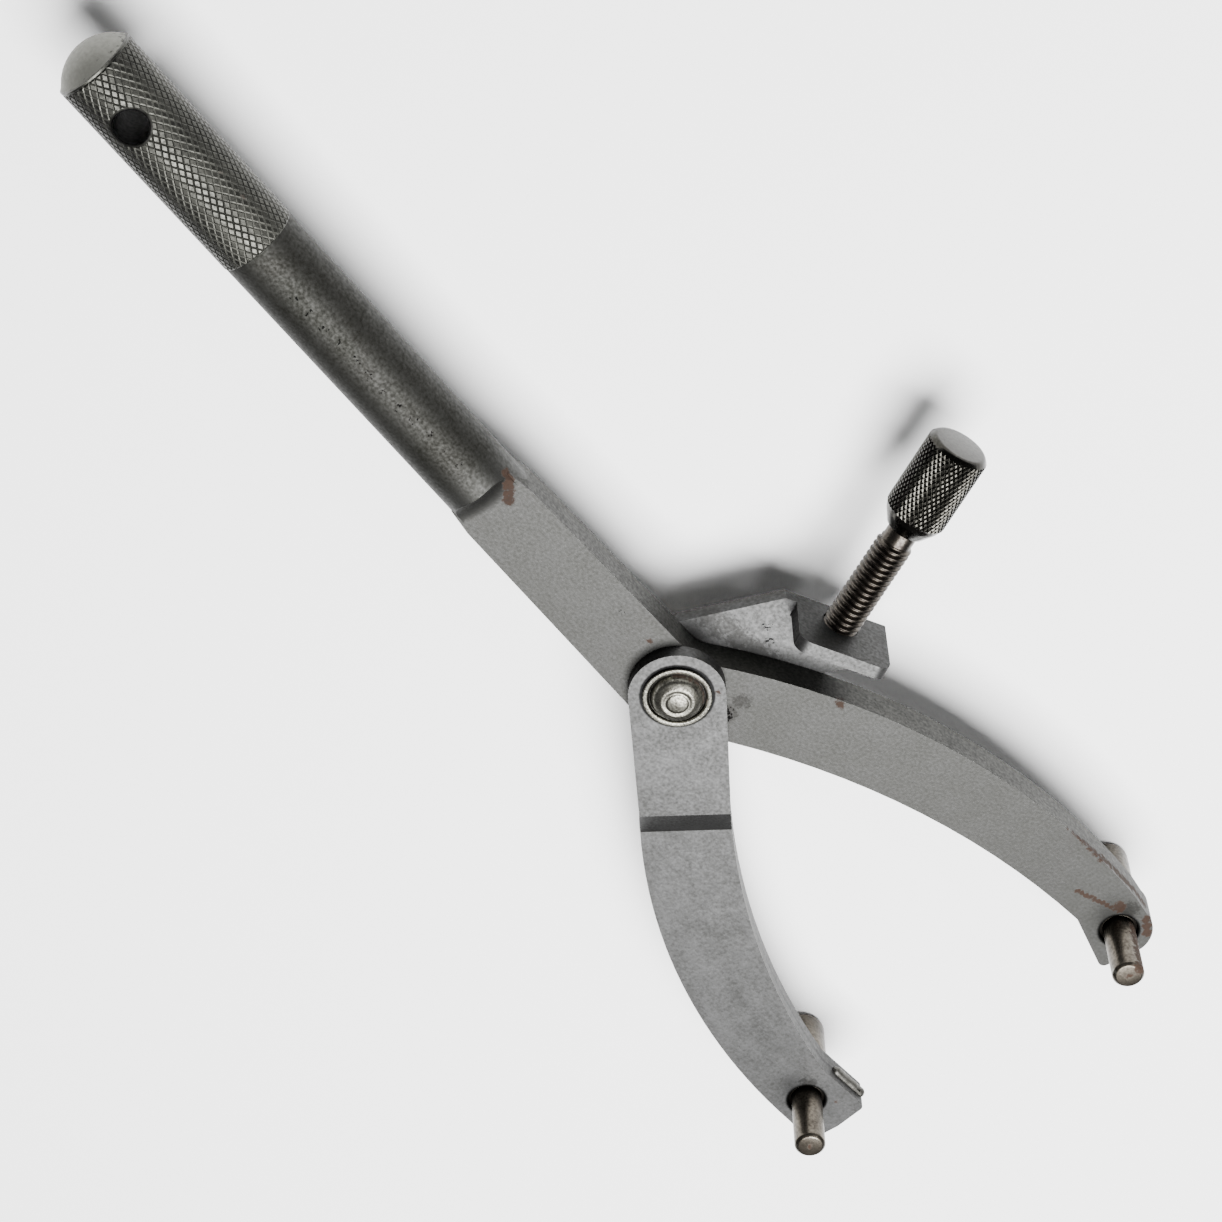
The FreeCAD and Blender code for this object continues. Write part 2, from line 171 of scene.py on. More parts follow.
def turn_up(name: str, profile: list[tuple[float, float]], segments: int) -> bpy.types.Object:
    """Turn a closed piece about +Z, ring by ring, at the origin.

    Args:
        name: Name of the piece.
        profile: (radius, height) pairs in mm, from the foot to the top.
        segments: Number of sides.

    Returns:
        The piece, with its place in its mesh.
    """
    radius, height = profile[0]
    bpy.ops.object.select_all(action="DESELECT")
    bpy.ops.mesh.primitive_circle_add(vertices=segments, radius=radius * MM, fill_type="NGON",
                                      location=(0, 0, height * MM))
    piece = bpy.context.active_object
    piece.name = name
    bpy.ops.object.transform_apply(location=True, rotation=True, scale=True)
    bpy.ops.object.mode_set(mode="EDIT")
    bpy.ops.mesh.select_mode(type="FACE")
    bpy.ops.mesh.select_all(action="SELECT")
    for next_radius, next_height in profile[1:]:
        step = (next_height - height) * MM
        bpy.ops.mesh.extrude_region_move(TRANSFORM_OT_translate={"value": (0, 0, step)})
        if next_radius != radius:
            grow = next_radius / radius
            bpy.ops.transform.resize(value=(grow, grow, 1.0),
                                     center_override=(0, 0, next_height * MM))
        radius, height = next_radius, next_height
    bpy.ops.object.mode_set(mode="OBJECT")
    return piece


def stand(piece: bpy.types.Object, foot: Vector, axis: Vector) -> None:
    """Lay a piece that was turned about +Z along another axis.

    Args:
        piece: The piece at the origin.
        foot: Where its height 0 goes, in metres.
        axis: The way its top points.
    """
    turn = Z_AXIS.rotation_difference(axis).to_matrix().to_4x4()
    piece.data.transform(Matrix.Translation(foot) @ turn)


def rounded(corners: list[tuple[float, float]], radius: float,
            steps: int = 3) -> list[tuple[float, float]]:
    """Round the inner corners of a turned profile.

    Args:
        corners: (radius, height) pairs in mm.
        radius: How far from a corner its rounding starts, at most.
        steps: Number of points on each rounding, less one.

    Returns:
        The rounded profile.
    """
    path = [corners[0]]
    for before, corner, after in zip(corners, corners[1:], corners[2:]):
        here = Vector(corner)
        back = Vector(before) - here
        on = Vector(after) - here
        reach = min(radius, back.length * 0.45, on.length * 0.45)
        start = here + back.normalized() * reach
        end = here + on.normalized() * reach
        for step in range(steps + 1):
            t = step / steps
            spot = start * (1 - t) ** 2 + here * 2 * t * (1 - t) + end * t ** 2
            path.append((spot.x, spot.y))
    path.append(corners[-1])
    return path


def cut_knurl(piece: bpy.types.Object, low: float, high: float, radius: float,
              land: float, rise: float) -> None:
    """Raise a diamond knurl on the wall of a turned piece, between two rings.

    Args:
        piece: The piece, about +Z at the origin, with a grid of faces on that wall.
        low: Height where the knurl starts, in mm.
        high: Height where it ends, in mm.
        radius: Radius at the bottom of the grooves, in mm.
        land: Width of a groove's slope, in mm.
        rise: Height of the diamonds, in mm.
    """
    slack = 0.01

    def on_wall(face: Any) -> bool:
        middle = face.calc_center_median()
        return low - slack < middle.z / MM < high + slack and abs(face.normal.z) < 0.5

    only(piece)
    bpy.ops.object.mode_set(mode="EDIT")
    select_faces(piece, on_wall)
    bpy.ops.mesh.mark_seam(clear=False)
    bpy.ops.mesh.poke()
    bpy.ops.mesh.select_mode(type="EDGE")
    bpy.ops.mesh.select_all(action="DESELECT")
    mesh = bmesh.from_edit_mesh(piece.data)
    for edge in mesh.edges:
        heights = [vert.co.z / MM for vert in edge.verts]
        inside = low + slack < sum(heights) / 2 < high - slack
        edge.select_set(edge.seam and inside)
    bmesh.update_edit_mesh(piece.data)
    bpy.ops.mesh.dissolve_edges(use_verts=False)
    mesh = bmesh.from_edit_mesh(piece.data)
    for vert in mesh.verts:
        across = Vector((vert.co.x, vert.co.y, 0.0))
        if low - slack < vert.co.z / MM < high + slack and across.length > 0.5 * radius * MM:
            across *= radius * MM / across.length
            vert.co = Vector((across.x, across.y, vert.co.z))
    bmesh.update_edit_mesh(piece.data)
    select_faces(piece, on_wall)
    bpy.ops.mesh.inset(thickness=land * MM, depth=rise * MM, use_individual=True,
                       use_even_offset=True)
    bpy.ops.mesh.select_all(action="SELECT")
    bpy.ops.mesh.mark_seam(clear=True)
    bpy.ops.object.mode_set(mode="OBJECT")


def forged_copy(node: str, name: str, edge_mm: float, material: bpy.types.Material,
                edge_material: bpy.types.Material, flank_material: bpy.types.Material,
                flank_start: float) -> bpy.types.Object:
    """Copy a CAD node's mesh, merge it and round its edges.

    Args:
        node: Name of the CAD node.
        name: Name of the new piece.
        edge_mm: Width of the rounding, in mm.
        material: Finish of its faces.
        edge_material: Finish of its rounded edges.
        flank_material: Finish of its upright walls, a darker copy as painted shade.
        flank_start: Distance from the pivot, in mm along x, where those walls start.

    Returns:
        The new piece.
    """
    first = at(flank_start, 0).x
    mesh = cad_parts[node].data.copy()
    mesh.materials.clear()
    mesh.materials.append(material)
    mesh.materials.append(edge_material)
    mesh.materials.append(flank_material)
    piece = bpy.data.objects.new(name, mesh)
    bpy.context.scene.collection.objects.link(piece)
    only(piece)
    bpy.ops.mesh.customdata_custom_splitnormals_clear()
    bpy.ops.object.mode_set(mode="EDIT")
    bpy.ops.mesh.select_all(action="SELECT")
    bpy.ops.mesh.remove_doubles(threshold=MERGE_MM * MM)
    bpy.ops.mesh.dissolve_limited(angle_limit=math.radians(FLAT_DEG))
    bpy.ops.object.mode_set(mode="OBJECT")
    # Upright walls take the darker wall finish, which is painted shade.
    for face in mesh.polygons:
        upright = abs(face.normal.z) < STEEPEST and face.center.x > first
        face.material_index = 2 if upright else 0
    apply_modifier(piece, "BEVEL", width=edge_mm * MM, segments=3, limit_method="ANGLE",
                   angle_limit=math.radians(BEND_DEG), use_clamp_overlap=True, material=1,
                   miter_outer="MITER_ARC")
    bpy.ops.object.shade_smooth_by_angle(angle=math.radians(SMOOTH_DEG))
    apply_modifier(piece, "WEIGHTED_NORMAL", keep_sharp=True, weight=80)
    return piece


def place(piece: bpy.types.Object, body: str, slot: str, *nodes: str) -> None:
    """Ride a finished piece on its body, in place of CAD nodes.

    Args:
        piece: The piece.
        body: Name of the CAD body that it moves with.
        slot: Name of a material slot; not used.
        nodes: CAD nodes that it stands for.
    """
    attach(piece, body)
    if nodes:
        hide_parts(*nodes)
    log.info("%s rides on %s: %d faces", piece.name, body, len(piece.data.polygons))


# --- finishes ------------------------------------------------------------------------------------
def linear(colour: str) -> tuple[float, float, float, float]:
    """Turn an sRGB hex colour into a linear one.

    Args:
        colour: Six hex digits after a hash sign.

    Returns:
        Red, green, blue and an alpha of 1.
    """
    channels = []
    for start in (1, 3, 5):
        value = int(colour[start:start + 2], 16) / 255
        channels.append(value / 12.92 if value <= 0.04045 else ((value + 0.055) / 1.055) ** 2.4)
    return (channels[0], channels[1], channels[2], 1.0)


def add_node(tree: bpy.types.NodeTree, kind: str, links: dict[Any, Any] | None = None,
             values: dict[Any, Any] | None = None, **settings: Any) -> bpy.types.Node:
    """Add one shader node with its settings, socket values and links.

    Args:
        tree: The material's node tree.
        kind: Blender's name of the node.
        links: Output socket for each input, by name or number.
        values: Value for each unlinked input, by name or number.
        settings: Values of the node's own settings.

    Returns:
        The new node.
    """
    node = tree.nodes.new(kind)
    for key, value in settings.items():
        setattr(node, key, value)
    for key, value in (values or {}).items():
        node.inputs[key].default_value = value
    for key, socket in (links or {}).items():
        tree.links.new(socket, node.inputs[key])
    return node


PATCH_EDGE = (0.62, 0.92)          # where a patch fades in
PIT_EDGE = (0.44, 0.50)            # where a pit fades in
# Bores, rings and the plates' seam are painted shade: colour mixed towards black where shade falls
# in holes, recesses and gaps.
BORE_FADE_MM = 0.5                 # how far a dark bore fades outwards
BORE_DARKNESS = 0.97
RING_CORE = 0.4                    # share of a ring's half width that is darkest
RING_DARKNESS = 0.9
SEAM_MM = (0.30, 0.55)             # half width of the plates' seam, dark and faded out
SEAM_CLEAR_MM = 6.0                # the seam starts this far from the pivot
PAINTED_SHADE_BLACK = "#050505"
MOTTLE_RANGE = (0.8, 1.5)          # mottle and grit together, from dark to light
GRIT_SHARE = 1.3                   # grit against mottle in the colour
GRIT_HEIGHT = 0.6                  # grit against mottle in the relief
RAGGED_SCALE = 0.9                 # noise that frays patches, per mm
RAGGED_RANGE = (0.34, 0.66)
PIT_SCALE = 1.5                    # noise that makes pits, per mm
SPECK_SCALE = 0.42                 # noise that makes rust specks, per mm
SPECK_RANGE = (0.78, 0.90)
SPECK_GAIN = 0.12                  # how much lower a full speckle starts
SPECK_OPACITY = 0.9
BAR_FADE_MM = (9.0, 3.0)           # how far the bar's finish fades, behind and past its end
BAR_ROUGHER = 0.13                 # the bar is this much rougher than the blade
GRIT_RANGE = (0.3, 0.7)
ROUGHNESS_SWING = 0.06             # grit changes the roughness this much each way
RUST_ROUGHNESS = 0.85
RUST_GLOSS = 0.08                  # dry rust hardly shines
CLEAN_GLOSS = 0.5
RELIEF_STRENGTH = 0.8


class Mark(Enum):
    """What a patch on the steel is."""

    RUST = "rust"
    # Painted shade and painted shadow: dark patches where the tool shades itself.
    GRIME = "painted_shade"
    PITS = "pits"
    # Bare worn metal, lightened further as a painted highlight.
    BARE = "bare_and_highlight"


OPACITY = {Mark.RUST: 0.85, Mark.GRIME: 0.5, Mark.PITS: 0.95, Mark.BARE: 0.55}


@dataclass(frozen=True)
class Patch:
    """A ragged patch of one kind: rust, pits, painted shade, or bare metal lightened with a
    painted highlight. Its place is about the pivot, in mm.
    """

    mark: Mark
    spot: tuple[float, float, float]
    reach: float
    strength: float = 1.0


def streak(mark: Mark, start: tuple[float, float, float], end: tuple[float, float, float],
           reach: float, strength: float = 1.0) -> list[Patch]:
    """Lay a row of patches between two places.

    Args:
        mark: What the patches are.
        start: First place, in mm about the pivot.
        end: Last place.
        reach: Radius of each patch.
        strength: Strength of each patch.

    Returns:
        The patches, closer together than their reach.
    """
    a, b = Vector(start), Vector(end)
    count = max(2, math.ceil(1.6 * (b - a).length / reach))
    return [Patch(mark, tuple(a.lerp(b, i / (count - 1))), reach, strength)
            for i in range(count)]


@dataclass(frozen=True)
class SteelFinish:
    """Steel with a mottled, gritty skin and patches on it.

    dark, light: The two ends of the mottle.
    roughness: Middle roughness of the bare skin.
    mottle_mm: Size of the mottle's larger clouds.
    grit_mm: Size of the grit, drawn as coarse as it needs to show.
    grit_depth_mm: How deep the grit's pits are.
    speckle: Share of the skin with small rust specks, 0 to 1.
    bores: Upright holes painted dark inside as painted shade, as (x, y, radius) about the pivot.
    rings: Level circles of painted shade in gaps, troughs and recesses, as (x, y, z, radius, half
    width) about the pivot.
    bar_dark, bar_light: The mottle of the round bar, which reaches from the end to bar_end.
    seam: Whether the line between the two plates is painted dark as painted shade.
    """

    name: str
    dark: str
    light: str
    roughness: float
    mottle_mm: float = 9.0
    grit_mm: float = 0.7
    grit_depth_mm: float = 0.05
    speckle: float = 0.3
    patches: tuple[Patch, ...] = ()
    bores: tuple[tuple[float, float, float], ...] = ()
    rings: tuple[tuple[float, float, float, float, float], ...] = ()
    bar_dark: str = ""
    bar_light: str = ""
    bar_end: float = -61.0
    seam: bool = False
    rust_dark: str = "#17100c"
    rust_light: str = "#38261b"
    pit: str = "#060606"
    # Colour of the painted shade patches.
    painted_shade: str = "#161513"
    # Colour of bare worn metal, which also stands in for a painted highlight.
    bare_and_highlight: str = "#93938c"

    def patch_mask(self, tree: bpy.types.NodeTree, mark: Mark, place_mm: Any,
                   ragged: Any) -> Any:
        """Make the mask of one kind of patch.

        Args:
            tree: The material's node tree.
            mark: Which patches to take.
            place_mm: Socket with the place in mm.
            ragged: Socket with noise that frays the patches' edges.

        Returns:
            A socket that is near 1 on the patches and 0 away from them, or None with no patch.
        """
        total = None
        for patch in (p for p in self.patches if p.mark is mark):
            away = add_node(tree, "ShaderNodeVectorMath", {0: place_mm},
                            {1: at(*patch.spot) / MM}, operation="DISTANCE")
            near = add_node(tree, "ShaderNodeMapRange", {"Value": away.outputs["Value"]},
                            {"From Min": 0.0, "From Max": patch.reach,
                             "To Min": patch.strength, "To Max": 0.0})
            if total is None:
                total = near.outputs["Result"]
            else:
                both = add_node(tree, "ShaderNodeMath", {0: total, 1: near.outputs["Result"]},
                                operation="MAXIMUM")
                total = both.outputs["Value"]
        if total is None:
            return None
        speckled = mark is Mark.PITS
        frayed = add_node(tree, "ShaderNodeMath", {0: ragged, 1: total},
                          operation="MULTIPLY" if speckled else "MULTIPLY_ADD")
        if not speckled:
            tree.links.new(total, frayed.inputs[2])
        low, high = PIT_EDGE if speckled else PATCH_EDGE
        mask = add_node(tree, "ShaderNodeMapRange", {"Value": frayed.outputs["Value"]},
                        {"From Min": low, "From Max": high, "To Max": OPACITY[mark]},
                        interpolation_type="SMOOTHSTEP")
        return mask.outputs["Result"]

    @staticmethod
    def away_from(tree: bpy.types.NodeTree, flat: Any, middle: Vector) -> Any:
        """Measure the level distance from an upright axis.

        Args:
            tree: The material's node tree.
            flat: Socket with the place in mm, with no height.
            middle: A place on the axis, in mm.

        Returns:
            A socket with the distance in mm.
        """
        away = add_node(tree, "ShaderNodeVectorMath", {0: flat}, {1: (middle.x, middle.y, 0.0)},
                        operation="DISTANCE")
        return away.outputs["Value"]

    def painted_shade_places(self, tree: bpy.types.NodeTree, place_mm: Any) -> list[Any]:
        """Make the masks of painted shade: inside the bores, in the rings and along the seam of
        the plates.

        Args:
            tree: The material's node tree.
            place_mm: Socket with the place in mm.

        Returns:
            Sockets that are 1 where shade is painted.
        """
        masks = []
        flat = add_node(tree, "ShaderNodeVectorMath", {0: place_mm}, {1: (1.0, 1.0, 0.0)},
                        operation="MULTIPLY").outputs["Vector"]
        for x, y, radius in self.bores:
            middle = at(x, y) / MM
            away = self.away_from(tree, flat, middle)
            inside = add_node(tree, "ShaderNodeMapRange", {"Value": away},
                              {"From Min": radius, "From Max": radius + BORE_FADE_MM,
                               "To Min": BORE_DARKNESS, "To Max": 0.0})
            masks.append(inside.outputs["Result"])
        parts = add_node(tree, "ShaderNodeSeparateXYZ", {0: place_mm})
        for x, y, z, radius, half_width in self.rings:
            middle = at(x, y, z) / MM
            away = self.away_from(tree, flat, middle)
            out = add_node(tree, "ShaderNodeMath", {0: away}, {1: radius},
                           operation="SUBTRACT")
            up = add_node(tree, "ShaderNodeMath", {0: parts.outputs["Z"]}, {1: middle.z},
                          operation="SUBTRACT")
            both = add_node(tree, "ShaderNodeCombineXYZ",
                            {0: out.outputs["Value"], 1: up.outputs["Value"]})
            gap = add_node(tree, "ShaderNodeVectorMath", {0: both.outputs["Vector"]},
                           operation="LENGTH")
            line = add_node(tree, "ShaderNodeMapRange", {"Value": gap.outputs["Value"]},
                            {"From Min": RING_CORE * half_width, "From Max": half_width,
                             "To Min": RING_DARKNESS, "To Max": 0.0})
            masks.append(line.outputs["Result"])
        if self.seam:
            height = add_node(tree, "ShaderNodeMath", {0: parts.outputs["Z"]},
                              {1: PIVOT.z / MM}, operation="SUBTRACT")
            apart = add_node(tree, "ShaderNodeMath", {0: height.outputs["Value"]},
                             operation="ABSOLUTE")
            line = add_node(tree, "ShaderNodeMapRange", {"Value": apart.outputs["Value"]},
                            {"From Min": SEAM_MM[0], "From Max": SEAM_MM[1],
                             "To Min": 1.0, "To Max": 0.0})
            on_jaw = add_node(tree, "ShaderNodeMath", {0: parts.outputs["Y"]},
                              {1: PIVOT.y / MM - SEAM_CLEAR_MM}, operation="LESS_THAN")
            masks.append(add_node(tree, "ShaderNodeMath",
                                  {0: line.outputs["Result"], 1: on_jaw.outputs["Value"]},
                                  operation="MULTIPLY").outputs["Value"])
        return masks

    def material(self) -> bpy.types.Material:
        """Build the node-based material.

        Returns:
            The material, named for the finish.
        """
        made = bpy.data.materials.get(self.name)
        if made:
            return made
        made = bpy.data.materials.new(self.name)
        made.use_nodes = True
        tree = made.node_tree
        tree.nodes.clear()
        coords = add_node(tree, "ShaderNodeTexCoord")
        to_mm = add_node(tree, "ShaderNodeVectorMath", {0: coords.outputs["Object"]},
                         operation="SCALE")
        to_mm.inputs["Scale"].default_value = 1 / MM
        place_mm = to_mm.outputs["Vector"]
        mottle = add_node(tree, "ShaderNodeTexNoise", {"Vector": place_mm},
                          {"Scale": 1 / self.mottle_mm, "Detail": 6.0, "Roughness": 0.62})
        grit = add_node(tree, "ShaderNodeTexNoise", {"Vector": place_mm},
                        {"Scale": 1 / self.grit_mm, "Detail": 2.0, "Roughness": 0.5})
        cloud = add_node(tree, "ShaderNodeTexNoise", {"Vector": place_mm},
                         {"Scale": RAGGED_SCALE, "Detail": 5.0, "Roughness": 0.7})
        ragged = add_node(tree, "ShaderNodeMapRange", {"Value": cloud.outputs["Fac"]},
                          {"From Min": RAGGED_RANGE[0],
                           "From Max": RAGGED_RANGE[1]}).outputs["Result"]
        pits = add_node(tree, "ShaderNodeTexNoise", {"Vector": place_mm},
                        {"Scale": PIT_SCALE, "Detail": 2.0, "Roughness": 0.5})
        blend = add_node(tree, "ShaderNodeMath",
                         {0: grit.outputs["Fac"], 2: mottle.outputs["Fac"]}, {1: GRIT_SHARE},
                         operation="MULTIPLY_ADD")
        level = add_node(tree, "ShaderNodeMapRange", {"Value": blend.outputs["Value"]},
                         {"From Min": MOTTLE_RANGE[0],
                          "From Max": MOTTLE_RANGE[1]}).outputs["Result"]
        colour = add_node(tree, "ShaderNodeMix", {0: level},
                          {6: linear(self.dark), 7: linear(self.light)},
                          data_type="RGBA").outputs[2]
        if self.bar_dark:
            parts = add_node(tree, "ShaderNodeSeparateXYZ", {0: place_mm})
            middle = at(self.bar_end, 0).x / MM
            on_bar = add_node(tree, "ShaderNodeMapRange", {"Value": parts.outputs["X"]},
                              {"From Min": middle - BAR_FADE_MM[0],
                               "From Max": middle + BAR_FADE_MM[1],
                               "To Min": 1.0, "To Max": 0.0}).outputs["Result"]
            bar = add_node(tree, "ShaderNodeMix", {0: level},
                           {6: linear(self.bar_dark), 7: linear(self.bar_light)},
                           data_type="RGBA").outputs[2]
            colour = add_node(tree, "ShaderNodeMix", {0: on_bar, 6: colour, 7: bar},
                              data_type="RGBA").outputs[2]
        rough = add_node(tree, "ShaderNodeMapRange", {"Value": grit.outputs["Fac"]},
                         {"From Min": GRIT_RANGE[0], "From Max": GRIT_RANGE[1],
                          "To Min": self.roughness + ROUGHNESS_SWING,
                          "To Max": self.roughness - ROUGHNESS_SWING}).outputs["Result"]
        if self.bar_dark:
            rough = add_node(tree, "ShaderNodeMath", {0: on_bar, 2: rough}, {1: BAR_ROUGHER},
                             operation="MULTIPLY_ADD").outputs["Value"]
        rust_colour = add_node(tree, "ShaderNodeMix", {0: cloud.outputs["Fac"]},
                               {6: linear(self.rust_dark), 7: linear(self.rust_light)},
                               data_type="RGBA").outputs[2]
        specks = add_node(tree, "ShaderNodeTexNoise", {"Vector": place_mm},
                          {"Scale": SPECK_SCALE, "Detail": 4.0, "Roughness": 0.7})
        rust = add_node(tree, "ShaderNodeMapRange", {"Value": specks.outputs["Fac"]},
                        {"From Min": SPECK_RANGE[0] - SPECK_GAIN * self.speckle,
                         "From Max": SPECK_RANGE[1] - SPECK_GAIN * self.speckle,
                         "To Max": SPECK_OPACITY}).outputs["Result"]
        rust_patches = self.patch_mask(tree, Mark.RUST, place_mm, ragged)
        if rust_patches is not None:
            rust = add_node(tree, "ShaderNodeMath", {0: rust, 1: rust_patches},
                            operation="MAXIMUM").outputs["Value"]
        # Patches of bare metal with painted highlight, of painted shade, and of pits.
        for mark, tint in ((Mark.BARE, self.bare_and_highlight), (Mark.GRIME, self.painted_shade),
                           (Mark.PITS, self.pit)):
            noise = pits.outputs["Fac"] if mark is Mark.PITS else ragged
            mask = self.patch_mask(tree, mark, place_mm, noise)
            if mask is not None:
                colour = add_node(tree, "ShaderNodeMix", {0: mask, 6: colour},
                                  {7: linear(tint)}, data_type="RGBA").outputs[2]
        colour = add_node(tree, "ShaderNodeMix", {0: rust, 6: colour, 7: rust_colour},
                          data_type="RGBA").outputs[2]
        # Painted shade in the bores, rings and seam.
        for mask in self.painted_shade_places(tree, place_mm):
            colour = add_node(tree, "ShaderNodeMix", {0: mask, 6: colour},
                              {7: linear(PAINTED_SHADE_BLACK)}, data_type="RGBA").outputs[2]
        metal = add_node(tree, "ShaderNodeMapRange", {"Value": rust},
                         {"To Min": 1.0, "To Max": 0.0}).outputs["Result"]
        gloss = add_node(tree, "ShaderNodeMapRange", {"Value": rust},
                         {"To Min": CLEAN_GLOSS, "To Max": RUST_GLOSS}).outputs["Result"]
        rough = add_node(tree, "ShaderNodeMix", {0: rust, 2: rough}, {3: RUST_ROUGHNESS},
                         data_type="FLOAT").outputs[0]
        height = add_node(tree, "ShaderNodeMath",
                          {0: grit.outputs["Fac"], 2: mottle.outputs["Fac"]}, {1: GRIT_HEIGHT},
                          operation="MULTIPLY_ADD")
        bump = add_node(tree, "ShaderNodeBump", {"Height": height.outputs["Value"]},
                        {"Strength": RELIEF_STRENGTH, "Distance": self.grit_depth_mm * MM})
        shader = add_node(tree, "ShaderNodeBsdfPrincipled",
                          {"Base Color": colour, "Metallic": metal, "Roughness": rough,
                           "Specular IOR Level": gloss,
                           "Normal": bump.outputs["Normal"]})
        add_node(tree, "ShaderNodeOutputMaterial", {"Surface": shader.outputs["BSDF"]})
        return made


# The pins' axes about the pivot, in mm.
FIXED_PIN = (113.192, 38.313)
MOVING_PIN = (112.855, -46.608)
# Rust and pits on the forging, painted shade round the fixed pin and beside the front plate, and
# its domed end worn bright with a painted highlight.
JAW_MARKS = tuple(
    streak(Mark.RUST, (-64, 5.6, 4.5), (-57.5, 0.5, 4.2), 2.6)
    + streak(Mark.RUST, (66.5, 43.6, 4), (79.0, 45.6, 4), 2.2, 0.85)
    + streak(Mark.RUST, (80.0, 46.0, 4), (93.5, 46.4, 3.4), 2.8, 0.95)
    + streak(Mark.RUST, (95.0, 46.6, 2.5), (112.0, 46.3, 1.0), 3.2, 0.9)
    + streak(Mark.RUST, (98.0, 37.2, 4), (108.5, 41.5, 4), 1.7, 0.85)
    + streak(Mark.RUST, (114.2, 44.9, 4), (117.5, 43.0, 4), 2.4)
    + [
        Patch(Mark.RUST, (107.4, 42.1, 4), 3.0),
        Patch(Mark.RUST, (24.5, 24.6, 4), 3.2, 0.75),
        Patch(Mark.RUST, (-12.5, 2.5, 4), 3.0, 0.6),
        # Painted shade round the fixed pin and beside the front plate.
        Patch(Mark.GRIME, (109.5, 43.4, 4), 5.0, 0.9),
        Patch(Mark.GRIME, (12.0, 4.0, 4), 5.5, 0.9),
        Patch(Mark.GRIME, (11.5, 8.5, 4), 4.5, 0.9),
        Patch(Mark.PITS, (12.0, 3.4, 4), 7.0, 1.2),
        Patch(Mark.PITS, (-22.0, 2.0, 4), 6.0, 0.85),
        # Domed end: worn bright, and lighter still as a painted highlight.
        Patch(Mark.BARE, (-182, -3, 2), 17.0, 1.3),
    ]
    + streak(Mark.PITS, (-120, -2, 8), (-72, -1, 8), 6.5, 0.86)
)
# Drop-forged carbon steel, shot-blasted: an even grey skin that scatters the light, with brown
# rust where it has been handled.
FORGED = SteelFinish(
    "shot_blasted_forged_steel", "#373735", "#3e3e3d", 0.50, speckle=0.3, patches=JAW_MARKS,
    # The hang hole and the fixed pin's hole are painted dark inside: painted shade.
    bores=((-165.2, -3.0, 3.6), (*FIXED_PIN, 4.6)), bar_dark="#21211e", bar_light="#343432",
)
# The same bar inside the knurl: rolled, not blasted, so it is darker and its crests shine.
KNURLED = SteelFinish(
    "rolled_diamond_knurl_steel", "#282826", "#40403c", 0.40, mottle_mm=14.0, speckle=0.45,
    grit_depth_mm=0.02,
    patches=tuple(
        streak(Mark.RUST, (-152.5, -0.5, 5), (-147.5, 2.7, 5), 1.8, 0.8)
        + [
            Patch(Mark.RUST, (-141.2, 2.5, 5), 2.4, 0.7),
            # Bare worn patch by the hang hole, lightened as a painted highlight too.
            Patch(Mark.BARE, (-163.0, -6.8, 5), 2.8, 0.75),
        ]
    ),
)
# The forging's rounded edges, rubbed brighter than its faces by use; they share the faces' patches
# and the painted shade in the bores.
RUBBED = SteelFinish(
    "rubbed_steel_edge", "#474745", "#787876", 0.40, mottle_mm=5.0, speckle=0.3,
    grit_depth_mm=0.02, patches=FORGED.patches, bores=FORGED.bores, bar_dark="#262625",
    bar_light="#40403b",
)
# The forging's upright walls: a darker copy of the face finish, as painted shade where the lights
# reach less, and a little rougher.
FORGING_WALL_SHADE = replace(FORGED, name="forging_wall_painted_shade", dark="#222220", light="#363633",
                  roughness=0.56)
# Rust and pits on the plates, a painted shadow of the forging on the bracket, and painted shade
# round the moving pin.
PLATE_MARKS = (
    Patch(Mark.PITS, (4.2, 20.8, -4.1), 4.6),
    Patch(Mark.PITS, (7.1, 19.5, -4.1), 4.0),
    # Painted shadow cast by the forging on the bracket.
    *streak(Mark.GRIME, (-6.0, 13.0, -4.1), (12.0, 16.0, -4.1), 7.0, 0.9),
    Patch(Mark.RUST, (4.5, 7.4, 7.7), 2.6, 0.62),
    # Painted shade round the moving pin's hole.
    Patch(Mark.GRIME, (108.8, -43.2, 3.6), 5.0, 0.8),
    Patch(Mark.RUST, (117.5, -41.5, 3.6), 2.0, 0.7),
)
# Stamped low-carbon plate, shot-blasted: a little smoother and more even than the forging.
PLATE = SteelFinish(
    "shot_blasted_steel_plate", "#3b3b3a", "#555555", 0.48, mottle_mm=7.0, speckle=0.12,
    # Painted shade inside the moving pin's hole, in a ring round the rivet's rim and along the
    # seam between the plates.
    patches=PLATE_MARKS, bores=((*MOVING_PIN, 4.6),), rings=((0, 0, 7.7, 7.6, 0.6),), seam=True,
)
# The plates' edges, rubbed bright by use, with painted shade in the seam between them and in the
# moving pin's hole.
PLATE_EDGE = SteelFinish(
    "rubbed_plate_edge", "#484847", "#7b7b76", 0.38, mottle_mm=5.0, speckle=0.12,
    grit_depth_mm=0.02, patches=PLATE_MARKS, bores=PLATE.bores, seam=True,
)
# The plates' upright walls: a darker copy of the plate finish, as painted shade where the lights
# reach less, and a little rougher.
PLATE_WALL_SHADE = replace(PLATE, name="plate_wall_painted_shade", dark="#232321", light="#343434",
                  roughness=0.54)
# Ground weld: as grey as the plates round it and lumpy, black in its pits.
WELD = SteelFinish(
    "ground_weld_steel", "#373632", "#585754", 0.52, mottle_mm=2.2, grit_depth_mm=0.08,
    speckle=0.7,
    patches=(
        Patch(Mark.PITS, (114.0, -38.6, 0), 4.0),
        Patch(Mark.PITS, (120.0, -37.0, 0), 5.0),
        Patch(Mark.PITS, (123.0, -37.0, 0), 4.0),
    ),
)
